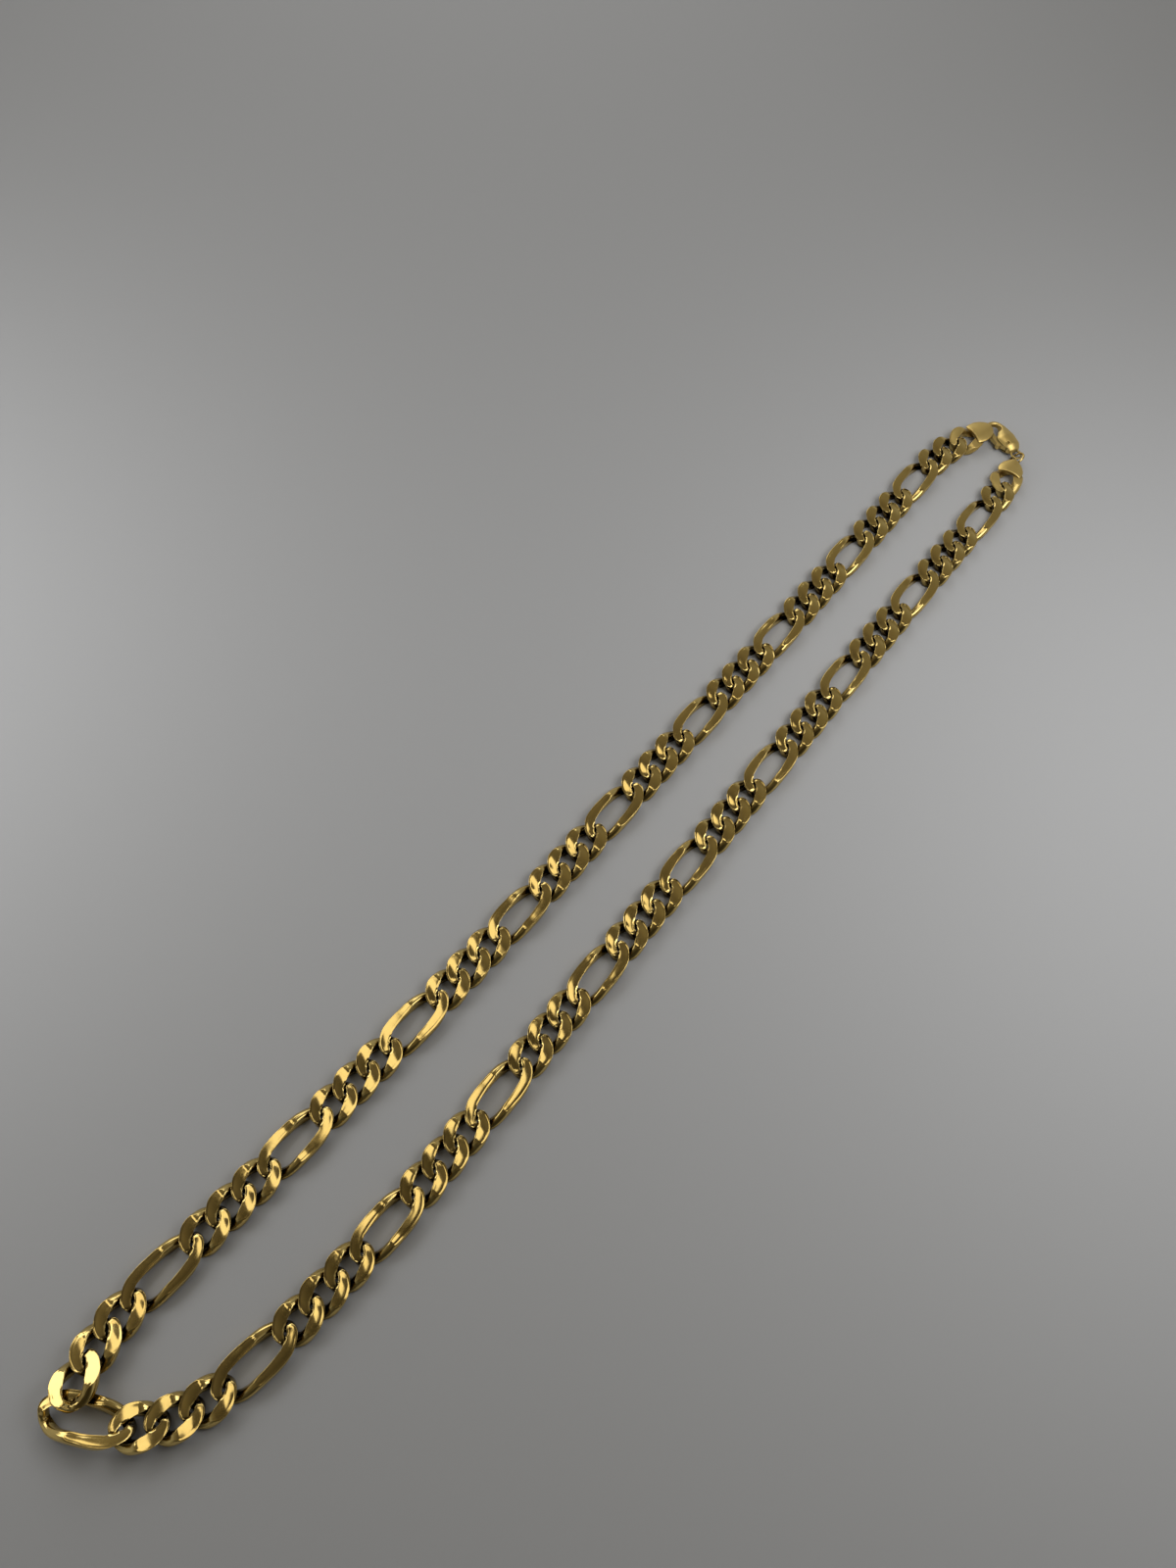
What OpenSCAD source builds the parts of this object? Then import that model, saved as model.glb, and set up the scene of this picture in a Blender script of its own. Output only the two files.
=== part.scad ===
// Figaro chain necklace: planed curb links, three short to one long, laid flat as a closed loop.
// Millimetres, +Z up, the chain rests on z = 0, +Y points to the clasp end of the loop.

/* [Links] */
// Width of the chain
chain_w = 7.8; // [5:0.1:12]
// Thickness of the chain once it is planed flat
chain_t = 2.1; // [1.2:0.05:3]
// Length of a short link
short_len = 9.6; // [6:0.1:14]
// Length of a long link
long_len = 16.3; // [10:0.1:24]
// Breadth of the wire along a link's sides
side_wire = 2.3; // [1:0.05:2.6]
// Breadth of the wire at a link's ends
end_wire = 1.6; // [1:0.05:2.8]
// Thickness of the wire before it is planed
wire_t = 2.8; // [1.4:0.05:3.4]
// Twist at each end of a short link, in degrees
short_twist = 60; // [20:1:70]
// Twist at each end of a long link, in degrees
long_twist = 63; // [20:1:70]
// Play between the ends of two links
link_gap = 0.7; // [0.2:0.05:1]

/* [Chain] */
// Short links between two long ones
short_run = 3; // [1:1:5]
// Extra play of the links round the bend
bend_slack = 0.12; // [0:0.02:0.6]
// Extra play between the corner link and the right side
corner_slack = 0.3; // [0:0.05:1]

/* [End caps] */
// Thickness of a cap's plate
cap_t = 0.5; // [0.3:0.05:1]
// Inner radius of the left cap's eye, round the hook
left_eye_r = 1.1; // [0.8:0.05:2]
// Inner radius of the right cap's eye, round the ring
right_eye_r = 0.95; // [0.5:0.05:1.5]
// Metal round an eye
eye_wall = 0.35; // [0.25:0.05:0.8]

/* [Clasp] */
// Height of the clasp's body, lying flat
clasp_t = 3; // [2:0.1:5]
// Mean radius of the hook
hook_r = 2; // [1.4:0.05:3]
// Breadth of the hook's bar
hook_w = 1.2; // [0.7:0.02:2]
// Height of the hook's bar
hook_t = 1.5; // [0.8:0.02:2.4]
// Radius of the tail's eye
tail_r = 1; // [0.5:0.05:1.5]
// Thickness of the lever
lever_t = 1.2; // [0.6:0.05:2]
// Gap between the lever and the walls of its slot
lever_gap = 0.12; // [0.08:0.02:0.3]
// Radius of the rivet
pin_r = 0.4; // [0.25:0.05:0.8]
// Mean radius of the jump ring
ring_r = 1.65; // [1.2:0.05:3]
// Radius of the jump ring's wire
ring_wire_r = 0.26; // [0.2:0.02:0.6]

/* [Hidden] */

// Stations round a link and the squareness of its oval
short_st = 14;
long_st = 16;
short_m = 2.8;
long_m = 3;
short_q = 1;
long_q = 1.8;

// Centre of the whole loop, brought to the origin
centre_x = -0.11;
centre_y = 0.17;
lift = 0.08;

// How each repeat of the two sides leans toward +X, in degrees, from the bend to the clasp
left_lean = [3, 2, 1, 0, 0, 0, -1, -1];
right_lean = [3, -1, -1.5, -1, -1, -1.5, -1, -0.5];
// Rows of the last short links: heading, roll, pitch, rise, is long, slack
left_tail = [[3, 0, 0, 0, false, 0], [13, 1.5, 1, 0, false, 0], [23, 3, 1.5, 0, false, 0]];
right_tail = [[-4, 0, 0, 0, false, 0], [-12, 0, 0, 0, false, 0]];

// First long link of the left side and the corner link: x, y, z, heading, roll, pitch, is long
left_start = [-11.9, -118.9, chain_t / 2, 3, 0, 0, true];
corner = [-4.2, -141.4, 2.06, 63, -18, 1, true];
// Links round the bend: heading, roll, pitch, rise, is long, slack
left_bend = [
  [-2, -3, -2, 0.1, false, bend_slack],
  [-13, -6, -7.5, 0.05, false, bend_slack],
  [-22, -12, -15.5, 0, false, bend_slack]
];
right_bend = [
  [43, -10, -5, -0.04, false, corner_slack],
  [30, -6, -4, 0.05, false, bend_slack],
  [17, -2, -1, -0.04, false, bend_slack],
  [7, 0, 0, 0, true, bend_slack]
];

function spow(v, e) = sign(v) * pow(abs(v), e);

// One six-cornered section of the planed wire, at angle u round the link
function section(u, long) =
  let (
    m = long ? long_m : short_m,
    a = (long ? long_len : short_len) / 2 - end_wire / 2,
    b = chain_w / 2 - side_wire / 2,
    x = a * spow(cos(u), 2 / m),
    y = b * spow(sin(u), 2 / m),
    gx = sign(x) * pow(abs(x / a), m - 1) / a,
    gy = sign(y) * pow(abs(y / b), m - 1) / b,
    g = norm([gx, gy]),
    r = x / a,
    tw = -(long ? long_twist : short_twist) * spow(r, long ? long_q : short_q),
    mid = [x, y * cos(tw), y * sin(tw)],
    across = [gx, gy * cos(tw), gy * sin(tw)] / g,
    up = [0, -sin(tw), cos(tw)],
    hb = (side_wire + (end_wire - side_wire) * r * r) / 2,
    ht = wire_t / 2,
    p = hb * across[2],
    q = ht * up[2],
    k = norm([p, q]),
    lean = atan2(q, p),
    top = max(28, acos(max(-1, min(1, (chain_t / 2 - mid[2]) / k)))),
    low = max(28, acos(max(-1, min(1, (chain_t / 2 + mid[2]) / k)))),
    s1 = (lean + top + lean + 180 - low) / 2,
    s2 = (lean + 180 + low + lean - top + 360) / 2
  )
  [for (t = [lean - top, lean + top, s1, lean + 180 - low, lean + 180 + low, s2])
    mid + hb * cos(t) * across + ht * sin(t) * up];

module link(long) {
  n = long ? long_st : short_st;
  points = [for (i = [0:n - 1]) each section(360 * (i + 0.5) / n, long)];
  faces = [for (i = [0:n - 1], k = [0:5], h = [0, 1])
    let (j = (i + 1) % n, l = (k + 1) % 6)
    h == 0 ? [6 * i + k, 6 * i + l, 6 * j + l] : [6 * i + k, 6 * j + l, 6 * j + k]];
  polyhedron(points = points, faces = faces, convexity = 6);
}

// The way a link points, and the distance from its centre to where it meets the next
function way(p) = [cos(p[5]) * sin(p[3]), cos(p[5]) * cos(p[3]), sin(p[5])];
function reach(long, slack) =
  (long ? long_len : short_len) / 2 - end_wire - link_gap / 2 - slack / 2;

// Pose of the next link, forward or back along the chain
function next_pose(p, row, s) =
  let (
    q = [0, 0, 0, row[0], row[1], row[2], row[4]],
    c = [p[0], p[1], p[2]]
      + s * (reach(p[6], row[5]) * way(p) + reach(row[4], row[5]) * way(q))
  )
  [c[0], c[1], c[2] + row[3], row[0], row[1], row[2], row[4]];
function lay(p, rows, s, i = 0) =
  i == len(rows) ? []
  : let (q = next_pose(p, rows[i], s)) concat([q], lay(q, rows, s, i + 1));

// Rows of a straight side: every repeat is the short links and then a long one
run = short_run + 1;
function lean_at(tab, i) =
  i % run != 0 ? tab[floor(i / run)]
  : (tab[i / run - 1] + tab[min(i / run, len(tab) - 1)]) / 2;
function side_rows(tab, tail) = concat(
  [for (i = [1:run * len(tab)]) [lean_at(tab, i), 0, 0, 0, i % run == 0, 0]],
  tail
);
function flat(p) = [p[0], p[1], chain_t / 2, p[3], 0, 0, p[6]];

left_side = concat([left_start], lay(left_start, side_rows(left_lean, left_tail), 1));
left_down = lay(left_start, left_bend, -1);
right_up = lay(corner, right_bend, 1);
right_start = flat(right_up[3]);
right_side = concat([right_start], lay(right_start, side_rows(right_lean, right_tail), 1));
left_last = left_side[len(left_side) - 1];
right_last = right_side[len(right_side) - 1];

module at(p) {
  translate([p[0], p[1], p[2]])
    rotate([p[4], -p[5], 90 - p[3]])
      children();
}

module links(poses) {
  for (p = poses)
    at(p)
      link(p[6]);
}

function but_last(v) = [for (i = [0:len(v) - 2]) v[i]];

module chain_left() {
  color("gold")
    place()
      links(concat([corner], left_down, but_last(left_side)));
}

module chain_right() {
  color("gold")
    place()
      links(concat([right_up[0], right_up[1], right_up[2]], but_last(right_side)));
}

module place(up = lift) {
  translate([-centre_x, -centre_y, up])
    children();
}

// Flat lying frame of an end link: x runs on along the chain, z = 0 is the table
module on_last(p) {
  translate([p[0], p[1], 0])
    rotate([0, 0, 90 - p[3]])
      children();
}

function mirrored(half) = concat(half, [for (i = [len(half) - 1:-1:0]) [half[i][0], -half[i][1]]]);

// Domed plate over an end link, from its open middle to the tip
module shell(half, z) {
  hull() {
    translate([0, 0, z])
      linear_extrude(height = cap_t * 0.5)
        polygon(mirrored(half));
    translate([0, 0, z + cap_t * 0.8])
      linear_extrude(height = 0.05)
        polygon(mirrored([for (p = half) [p[0] - 0.25 * sign(p[0] - 3), p[1] * 0.87]]));
    translate([0, 0, z + cap_t * 1.1])
      linear_extrude(height = 0.05)
        polygon(mirrored([for (p = half) [3 + (p[0] - 3) * 0.6, p[1] * 0.55]]));
  }
}

cap_x = 1.35;
solder = chain_t - 0.12;
left_eye_x = 6.44;
left_eye_z = left_eye_r + eye_wall + 0.02;
right_eye_x = 6.45;
right_eye_z = right_eye_r + eye_wall + 0.1;
left_half = [[cap_x, 2.7], [2.4, 3.1], [3.8, 3.15], [5.2, 2.8], [6.4, 2.1], [7.2, 1]];
right_half = [[cap_x, 2.7], [2.4, 3.1], [3.6, 3], [4.8, 2.4], [5.8, 1.4], [6.4, 0.6]];

module eye(x, z, r, thick) {
  translate([x, 0, z])
    rotate([90, 0, 0])
      cylinder(r = r, h = thick, center = true, $fn = 40);
}

// Foot that stands under the shell inside the link's outer end
module foot() {
  translate([2.3, -0.7, 1.2])
    cube([1.6, 1.4, solder - 1]);
}

// Bow-shaped near edge of the shell
module near_edge() {
  translate([cap_x - 8.45, 0, solder - 0.02])
    cylinder(r = 9, h = 2, $fn = 80);
}

module end_link_left() {
  color("goldenrod")
    place()
      difference() {
        union() {
          at(left_last)
            link(false);
          on_last(left_last)
            difference() {
              union() {
                rotate([0, -4, 0])
                  shell(left_half, solder + 0.08);
                translate([0, 0, 0.2])
                  foot();
                eye(left_eye_x, left_eye_z, left_eye_r + eye_wall, 0.7);
              }
              near_edge();
            }
        }
        on_last(left_last)
          eye(left_eye_x, left_eye_z, left_eye_r, 6);
      }
}

module end_link_right() {
  color("goldenrod")
    place()
      difference() {
        union() {
          at(right_last)
            link(false);
          on_last(right_last)
            difference() {
              union() {
                rotate([0, -3, 0])
                  shell(right_half, solder);
                foot();
                eye(right_eye_x, right_eye_z, right_eye_r + eye_wall, 0.45);
              }
              near_edge();
            }
        }
        on_last(right_last)
          eye(right_eye_x, right_eye_z, right_eye_r, 6);
      }
}

// The clasp lies flat; its own x runs from the hook to the tail
clasp_at = [-0.25, 143.5];
clasp_head = 113;
clasp_z = clasp_t / 2;
hook_x = -3.3;
hook_y = -0.3;
nose_angle = 292;
hinge_x = 2.4;
hinge_y = -0.9;
tail_x = 5.5;
tail_y = 0;
tail_t = 0.5;

module on_clasp() {
  translate([clasp_at[0], clasp_at[1], 0])
    rotate([0, 0, 90 - clasp_head])
      children();
}

module egg(x, y, rx, ry, rz) {
  translate([x, y, clasp_z])
    scale([rx, ry, rz])
      sphere(r = 1, $fn = 28);
}

// Bar of the hook, bent from the body round to the nose
module hook() {
  translate([hook_x, hook_y, clasp_z])
    rotate([0, 0, 25])
      rotate_extrude(angle = nose_angle - 25, $fn = 72)
        translate([hook_r, 0])
          scale([hook_w / 2, hook_t / 2])
            circle(r = 1, $fn = 24);
}

// Room for the lever from its rest to fully open
module slot() {
  translate([0, 0, clasp_z - lever_t / 2 - lever_gap])
    linear_extrude(height = lever_t + 2 * lever_gap)
      polygon([[-3, 0.5], [-1.2, -0.15], [0.5, -0.25], [1.5, 0.3], [3.5, 0.3],
               [3.5, -1.6], [3.2, -4], [-3, -4]]);
}

module clasp_body() {
  color("gold")
    place(0)
      on_clasp()
        difference() {
          union() {
            hook();
            difference() {
              hull() {
                egg(-2.9, 1.5, 1.3, 1.1, 0.95);
                egg(0.3, 0.25, 2.1, 2.75, clasp_t / 2 + 0.12);
                egg(2.6, 0.2, 1.75, 2.45, clasp_t / 2 + 0.12);
                egg(3.9, 0.1, 0.9, 1.8, 1.1);
              }
              translate([-8, -8, -2])
                cube([16, 16, 2]);
              translate([hook_x, hook_y, -1])
                cylinder(r = hook_r - hook_w / 2, h = clasp_t + 2, $fn = 64);
              slot();
            }
            translate([tail_x, tail_y, clasp_z - 0.15 - tail_t / 2])
              cylinder(r = tail_r + 0.45, h = tail_t, $fn = 48);
          }
          translate([tail_x, tail_y, -1])
            cylinder(r = tail_r, h = clasp_t + 2, $fn = 48);
          translate([hinge_x, hinge_y, -1])
            cylinder(r = pin_r + 0.02, h = clasp_t + 2, $fn = 32);
        }
}

module clasp_lever() {
  color("khaki")
    place(0)
      on_clasp()
        translate([0, 0, clasp_z - lever_t / 2])
          difference() {
            union() {
              translate([hinge_x, hinge_y, 0])
                cylinder(r = 0.9, h = lever_t, $fn = 40);
              linear_extrude(height = lever_t)
                polygon([[2.5, -1.75], [1.9, -2.2], [1.8, -3.2], [0.9, -3.2], [0.7, -2.75],
                         [-1.4, -2.85], [-2.18, -2.68], [-2.63, -1.52], [-1.3, -1.7],
                         [0.5, -1.45], [1.6, -0.6]]);
            }
            translate([hinge_x, hinge_y, -1])
              cylinder(r = pin_r + 0.05, h = lever_t + 2, $fn = 32);
          }
}

module clasp_pin() {
  color("silver")
    place(0)
      on_clasp()
        translate([hinge_x, hinge_y, 0.2])
          cylinder(r = pin_r, h = clasp_t - 0.4, $fn = 32);
}

// The ring goes through the tail's eye and the right cap's eye, its free side raised
ring_lean = 44;
ring_z = 1.3;
tail_eye = clasp_at + tail_x * [sin(clasp_head), cos(clasp_head)];
cap_eye = [right_last[0], right_last[1]]
  + right_eye_x * [sin(right_last[3]), cos(right_last[3])];
chord = cap_eye - tail_eye;
ring_off = sqrt(ring_r * ring_r - chord * chord / 4) - 0.1;

module jump_ring() {
  color("gold")
    place(0)
      translate([(tail_eye[0] + cap_eye[0]) / 2, (tail_eye[1] + cap_eye[1]) / 2, ring_z])
        rotate([0, 0, atan2(chord[1], chord[0])])
          rotate([ring_lean, 0, 0])
            translate([0, ring_off, 0])
              rotate_extrude($fn = 72)
                translate([ring_r, 0])
                  circle(r = ring_wire_r, $fn = 24);
}

chain_left();
chain_right();
end_link_left();
end_link_right();
clasp_body();
clasp_lever();
clasp_pin();
jump_ring();
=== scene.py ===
"""Figaro chain necklace in polished yellow gold, laid out on a pale table.

Every length inside a class is in millimetres, and `MM` turns it to metres when a mesh is made. In the
loop's frame +Y is toward the clasp, +X toward the side that ends in the jump ring, and +Z up.
"""
import logging
import math
from dataclasses import dataclass
from enum import Enum
from typing import NamedTuple, Sequence

import bpy
import numpy as np
from mathutils import Matrix, Vector


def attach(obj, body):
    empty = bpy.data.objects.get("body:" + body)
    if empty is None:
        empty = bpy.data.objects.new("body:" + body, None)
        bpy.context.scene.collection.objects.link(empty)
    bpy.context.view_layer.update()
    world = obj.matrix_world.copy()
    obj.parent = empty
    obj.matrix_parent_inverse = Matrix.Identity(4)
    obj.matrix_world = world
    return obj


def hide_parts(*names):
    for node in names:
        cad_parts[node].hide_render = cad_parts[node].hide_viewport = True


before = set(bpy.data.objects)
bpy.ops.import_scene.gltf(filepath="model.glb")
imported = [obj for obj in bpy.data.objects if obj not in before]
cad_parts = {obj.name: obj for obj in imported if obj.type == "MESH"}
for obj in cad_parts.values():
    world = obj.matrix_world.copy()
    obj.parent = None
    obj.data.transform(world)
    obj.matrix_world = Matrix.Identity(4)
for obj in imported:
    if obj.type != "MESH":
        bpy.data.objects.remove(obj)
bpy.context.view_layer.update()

MM = 0.001
# The loop's origin in the shared frame, and how far the chain's lowest link clears the table.
SHIFT = np.array([0.11, -0.17, 0.0])
LIFT = np.array([0.0, 0.0, 0.08])

# A mesh is its points in mm and the point numbers of each face.
Mesh = tuple[np.ndarray, list[tuple[int, ...]]]
Tree = bpy.types.NodeTree
Socket = bpy.types.NodeSocket

log = logging.getLogger("necklace")


class Body(str, Enum):
    """The rigid bodies that pieces ride on."""

    NECKLACE = "necklace"
    LEVER = "lever"


class Kind(Enum):
    """The two sizes of link in a figaro chain."""

    SHORT = "short"
    LONG = "long"


class Pose(NamedTuple):
    """Where a link lies: its centre in mm, and its heading, roll and pitch in degrees."""

    x: float
    y: float
    z: float
    heading: float
    roll: float
    pitch: float
    kind: Kind

    def matrix(self) -> np.ndarray:
        """Returns the 3x3 turn from the link's own axes to the loop's."""
        return turn(self.roll, -self.pitch, 90.0 - self.heading)

    def way(self) -> np.ndarray:
        """Returns the unit vector along the link."""
        h, p = math.radians(self.heading), math.radians(self.pitch)
        return np.array([math.cos(p) * math.sin(h), math.cos(p) * math.cos(h), math.sin(p)])

    def carry(self, points: np.ndarray) -> np.ndarray:
        """Returns points of the link's own frame in the loop's frame, in mm."""
        return points @ self.matrix().T + np.array([self.x, self.y, self.z])


class Step(NamedTuple):
    """The next link of a walk: its angles in degrees, its rise in mm, its kind and extra play in mm."""

    heading: float
    roll: float = 0.0
    pitch: float = 0.0
    rise: float = 0.0
    kind: Kind = Kind.SHORT
    slack: float = 0.0


class Rib(NamedTuple):
    """One row of a shell's outline: the place along the link and the half width there, in mm."""

    along: float
    half_width: float


class Eye(NamedTuple):
    """A standing eye: its centre in the link's flat frame, inner radius and thickness, in mm."""

    x: float
    z: float
    r: float
    thick: float


class Stop(NamedTuple):
    """One row of a colour ramp: a place from 0 to 1 and its sRGB colour."""

    at: float
    colour: str


# Meshes


def turn(x: float, y: float, z: float) -> np.ndarray:
    """Gives the rotation that turns about X, then Y, then Z.

    Args:
        x: Degrees about X.
        y: Degrees about Y.
        z: Degrees about Z.

    Returns:
        A 3x3 matrix.
    """
    a, b, c = (math.radians(v) for v in (x, y, z))
    rx = np.array([[1, 0, 0], [0, math.cos(a), -math.sin(a)], [0, math.sin(a), math.cos(a)]])
    ry = np.array([[math.cos(b), 0, math.sin(b)], [0, 1, 0], [-math.sin(b), 0, math.cos(b)]])
    rz = np.array([[math.cos(c), -math.sin(c), 0], [math.sin(c), math.cos(c), 0], [0, 0, 1]])
    return rz @ ry @ rx


def signed_power(value: float, power: float) -> float:
    """Returns the size of a value raised to a power, with the value's own sign."""
    return math.copysign(abs(value) ** power, value)


def outward(points: np.ndarray, faces: list[tuple[int, ...]]) -> Mesh:
    """Turns the faces of a closed mesh to look out.

    Args:
        points: Its vertices.
        faces: Its faces, all wound one way.

    Returns:
        The same points, and faces that enclose a positive volume.
    """
    volume = 0.0
    for face in faces:
        for i in range(1, len(face) - 1):
            volume += float(np.dot(points[face[0]], np.cross(points[face[i]], points[face[i + 1]])))
    return points, faces if volume > 0 else [tuple(reversed(face)) for face in faces]


def loft(rings: Sequence[np.ndarray], closed: bool = False) -> Mesh:
    """Skins closed rings of equal size, and closes the ends unless the run itself is closed.

    Args:
        rings: Rings of points, in order.
        closed: Whether the last ring joins the first.

    Returns:
        Points and faces.
    """
    n = len(rings[0])
    faces: list[tuple[int, ...]] = []
    last = len(rings) if closed else len(rings) - 1
    for i in range(last):
        j = (i + 1) % len(rings)
        for k in range(n):
            m = (k + 1) % n
            faces.append((i * n + k, i * n + m, j * n + m, j * n + k))
    if not closed:
        faces.append(tuple(reversed(range(n))))
        faces.append(tuple(range((len(rings) - 1) * n, len(rings) * n)))
    return outward(np.vstack(rings), faces)


def join(parts: Sequence[Mesh]) -> Mesh:
    """Puts several meshes in one, each as a loose part.

    Args:
        parts: The meshes.

    Returns:
        All their points and faces, in order.
    """
    points, faces, base = [], [], 0
    for own, own_faces in parts:
        points.append(own)
        faces += [tuple(i + base for i in face) for face in own_faces]
        base += len(own)
    return np.vstack(points), faces


def make_piece(name: str, shape: Mesh, material: bpy.types.Material) -> bpy.types.Object:
    """Makes a smooth-shaded mesh object.

    Args:
        name: The object's name.
        shape: Its points and faces in the loop's frame.
        material: Its finish.

    Returns:
        The new object, linked to the scene, in metres in the shared frame.
    """
    points, faces = shape
    mesh = bpy.data.meshes.new(name)
    mesh.from_pydata(((points + SHIFT) * MM).tolist(), [], [list(face) for face in faces])
    mesh.validate()
    mesh.update()
    mesh.shade_smooth()
    mesh.materials.append(material)
    piece = bpy.data.objects.new(name, mesh)
    bpy.context.scene.collection.objects.link(piece)
    return piece


class GoldPiece:
    """A piece of gold, named for the CAD node that it stands for."""

    name: str
    form: str = "metal"
    body: Body = Body.NECKLACE

    def mesh(self) -> Mesh:
        """Returns its points in the loop's frame, in mm, and its faces."""
        raise NotImplementedError

    def make(self, name: str, gold: bpy.types.Material) -> bpy.types.Object:
        """Returns the object, made from its own points."""
        return make_piece(name, self.mesh(), gold)

    def dress(self, gold: bpy.types.Material) -> bpy.types.Object:
        """Makes the piece in its finish, on its body and in place of its CAD node.

        Args:
            gold: The finish.

        Returns:
            The piece.
        """
        piece = self.make(f"{self.name}_{self.form}", gold)
        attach(piece, self.body.value)
        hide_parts(self.name)
        log.info("%s: %d faces", piece.name, len(piece.data.polygons))
        return piece


# Finishes


def linear(hex_colour: str) -> tuple[float, float, float, float]:
    """Turns an sRGB hex colour to the linear values that a shader wants.

    Args:
        hex_colour: Six hex digits after a #.

    Returns:
        Red, green, blue and an alpha of one.
    """
    out = []
    for i in (1, 3, 5):
        v = int(hex_colour[i : i + 2], 16) / 255
        out.append(v / 12.92 if v <= 0.04045 else ((v + 0.055) / 1.055) ** 2.4)
    return (out[0], out[1], out[2], 1.0)


def add_node(
    tree: Tree, kind: str, links: dict[str, Socket] | None = None, **settings: object
) -> bpy.types.Node:
    """Adds a node with its settings and its incoming links.

    A mix of colours has its sockets by number: 0 is the share, 6 and 7 the two colours, and output 2
    the result.

    Args:
        tree: The node tree.
        kind: The node's type name.
        links: Input name or number, as text, to the output socket that feeds it.
        **settings: Attributes of the node. One that is no attribute is an input: its name with _ for
            a space, or "in" and its number.

    Returns:
        The new node.
    """
    node = tree.nodes.new(kind)
    for key, value in settings.items():
        if hasattr(node, key):
            setattr(node, key, value)
            continue
        number = key.removeprefix("in")
        socket = int(number) if number.isdigit() else key.replace("_", " ")
        node.inputs[socket].default_value = value
    for key, source in (links or {}).items():
        tree.links.new(source, node.inputs[int(key) if key.isdigit() else key])
    return node


def empty_material(name: str) -> bpy.types.Material:
    """Makes a material without nodes.

    Args:
        name: Its name.

    Returns:
        The material.
    """
    material = bpy.data.materials.new(name)
    material.use_nodes = True
    material.node_tree.nodes.clear()
    return material


class Layer(NamedTuple):
    """A layer of relief: the size of its patches and its depth in mm, its detail and distortion."""

    patch: float
    depth: float
    detail: float = 2.0
    distortion: float = 0.0


def relief(tree: Tree, place: Socket, layers: Sequence[Layer], strength: float) -> Socket:
    """Adds layers of noise that tilt a surface, each over the one before.

    Args:
        tree: The node tree.
        place: The object's own coordinates.
        layers: The layers, the lowest first.
        strength: How much of the tilt shows, from 0 to 1.

    Returns:
        The normal.
    """
    below: dict[str, Socket] = {}
    for layer in layers:
        noise = add_node(
            tree,
            "ShaderNodeTexNoise",
            {"Vector": place},
            Scale=1 / (layer.patch * MM),
            Detail=layer.detail,
            Distortion=layer.distortion,
        )
        links = {"Height": noise.outputs["Fac"], **below}
        bump = add_node(tree, "ShaderNodeBump", links, Strength=strength, Distance=layer.depth * MM)
        below = {"Normal": bump.outputs["Normal"]}
    return below["Normal"]


@dataclass(frozen=True)
class PolishedGold:
    """14 ct yellow gold, planed with a file and buffed on a wheel.

    The buffing leaves a mirror that swims a little, from slow waves a few millimetres across, and a
    skin of fine wheel marks. It gives the eye sharp streaks of light on the flats instead of one even
    sheen. Every pattern is noise in object space, scaled by the real size of its patches.
    """

    name: str = "polished_yellow_gold"
    colour: str = "#EBD085"
    warm: str = "#E2C274"
    tint_mm: float = 6.0
    # Painted shade: the dark brown that the gold is mixed toward where links hook close and ambient
    # occlusion is low, from full at the first value below to none at the second.
    shade_colour: str = "#33200A"
    crevice_mm: float = 3.0
    shade_full_at: float = 0.3
    shade_none_at: float = 0.93
    roughness: float = 0.1
    # The least and the most share of the roughness, from one smear to the next.
    smear: tuple[float, float] = (0.75, 1.35)
    smear_mm: float = 1.2
    wave_mm: float = 3.0
    wave_depth_mm: float = 0.008
    # The wheel's real marks are about 0.02 mm apart, too fine to show, so they are drawn this coarse.
    wheel_mm: float = 0.35
    wheel_depth_mm: float = 0.0008

    def build(self) -> bpy.types.Material:
        """Makes the material.

        Returns:
            The material, with one shader.
        """
        material = empty_material(self.name)
        tree = material.node_tree
        place = add_node(tree, "ShaderNodeTexCoord").outputs["Object"]
        scale = 1 / (self.tint_mm * MM)
        tint = add_node(tree, "ShaderNodeTexNoise", {"Vector": place}, Scale=scale, Detail=2.0)
        metal = add_node(
            tree,
            "ShaderNodeMix",
            {"0": tint.outputs["Fac"]},
            data_type="RGBA",
            in6=linear(self.colour),
            in7=linear(self.warm),
        )
        # Painted shade: where ambient occlusion is low, between hooked links, the gold is mixed toward
        # dark brown to stand in for the shade there.
        sky = add_node(tree, "ShaderNodeAmbientOcclusion", samples=6, Distance=self.crevice_mm * MM)
        reach = add_node(
            tree,
            "ShaderNodeMapRange",
            {"Value": sky.outputs["AO"]},
            From_Min=self.shade_full_at,
            From_Max=self.shade_none_at,
        )
        shaded_metal = add_node(
            tree,
            "ShaderNodeMix",
            {"0": reach.outputs["Result"], "7": metal.outputs[2]},
            data_type="RGBA",
            in6=linear(self.shade_colour),
        )
        scale = 1 / (self.smear_mm * MM)
        smear = add_node(tree, "ShaderNodeTexNoise", {"Vector": place}, Scale=scale, Detail=3.0)
        rough = add_node(
            tree,
            "ShaderNodeMapRange",
            {"Value": smear.outputs["Fac"]},
            From_Min=0.3,
            From_Max=0.7,
            To_Min=self.roughness * self.smear[0],
            To_Max=self.roughness * self.smear[1],
        )
        waves = Layer(self.wave_mm, self.wave_depth_mm, detail=1.0)
        marks = Layer(self.wheel_mm, self.wheel_depth_mm, distortion=0.4)
        parts = {
            "Base Color": shaded_metal.outputs[2],
            "Roughness": rough.outputs["Result"],
            "Normal": relief(tree, place, (waves, marks), strength=1.0),
        }
        shader = add_node(tree, "ShaderNodeBsdfPrincipled", parts, Metallic=1.0)
        add_node(tree, "ShaderNodeOutputMaterial", {"Surface": shader.outputs["BSDF"]})
        return material


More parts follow.
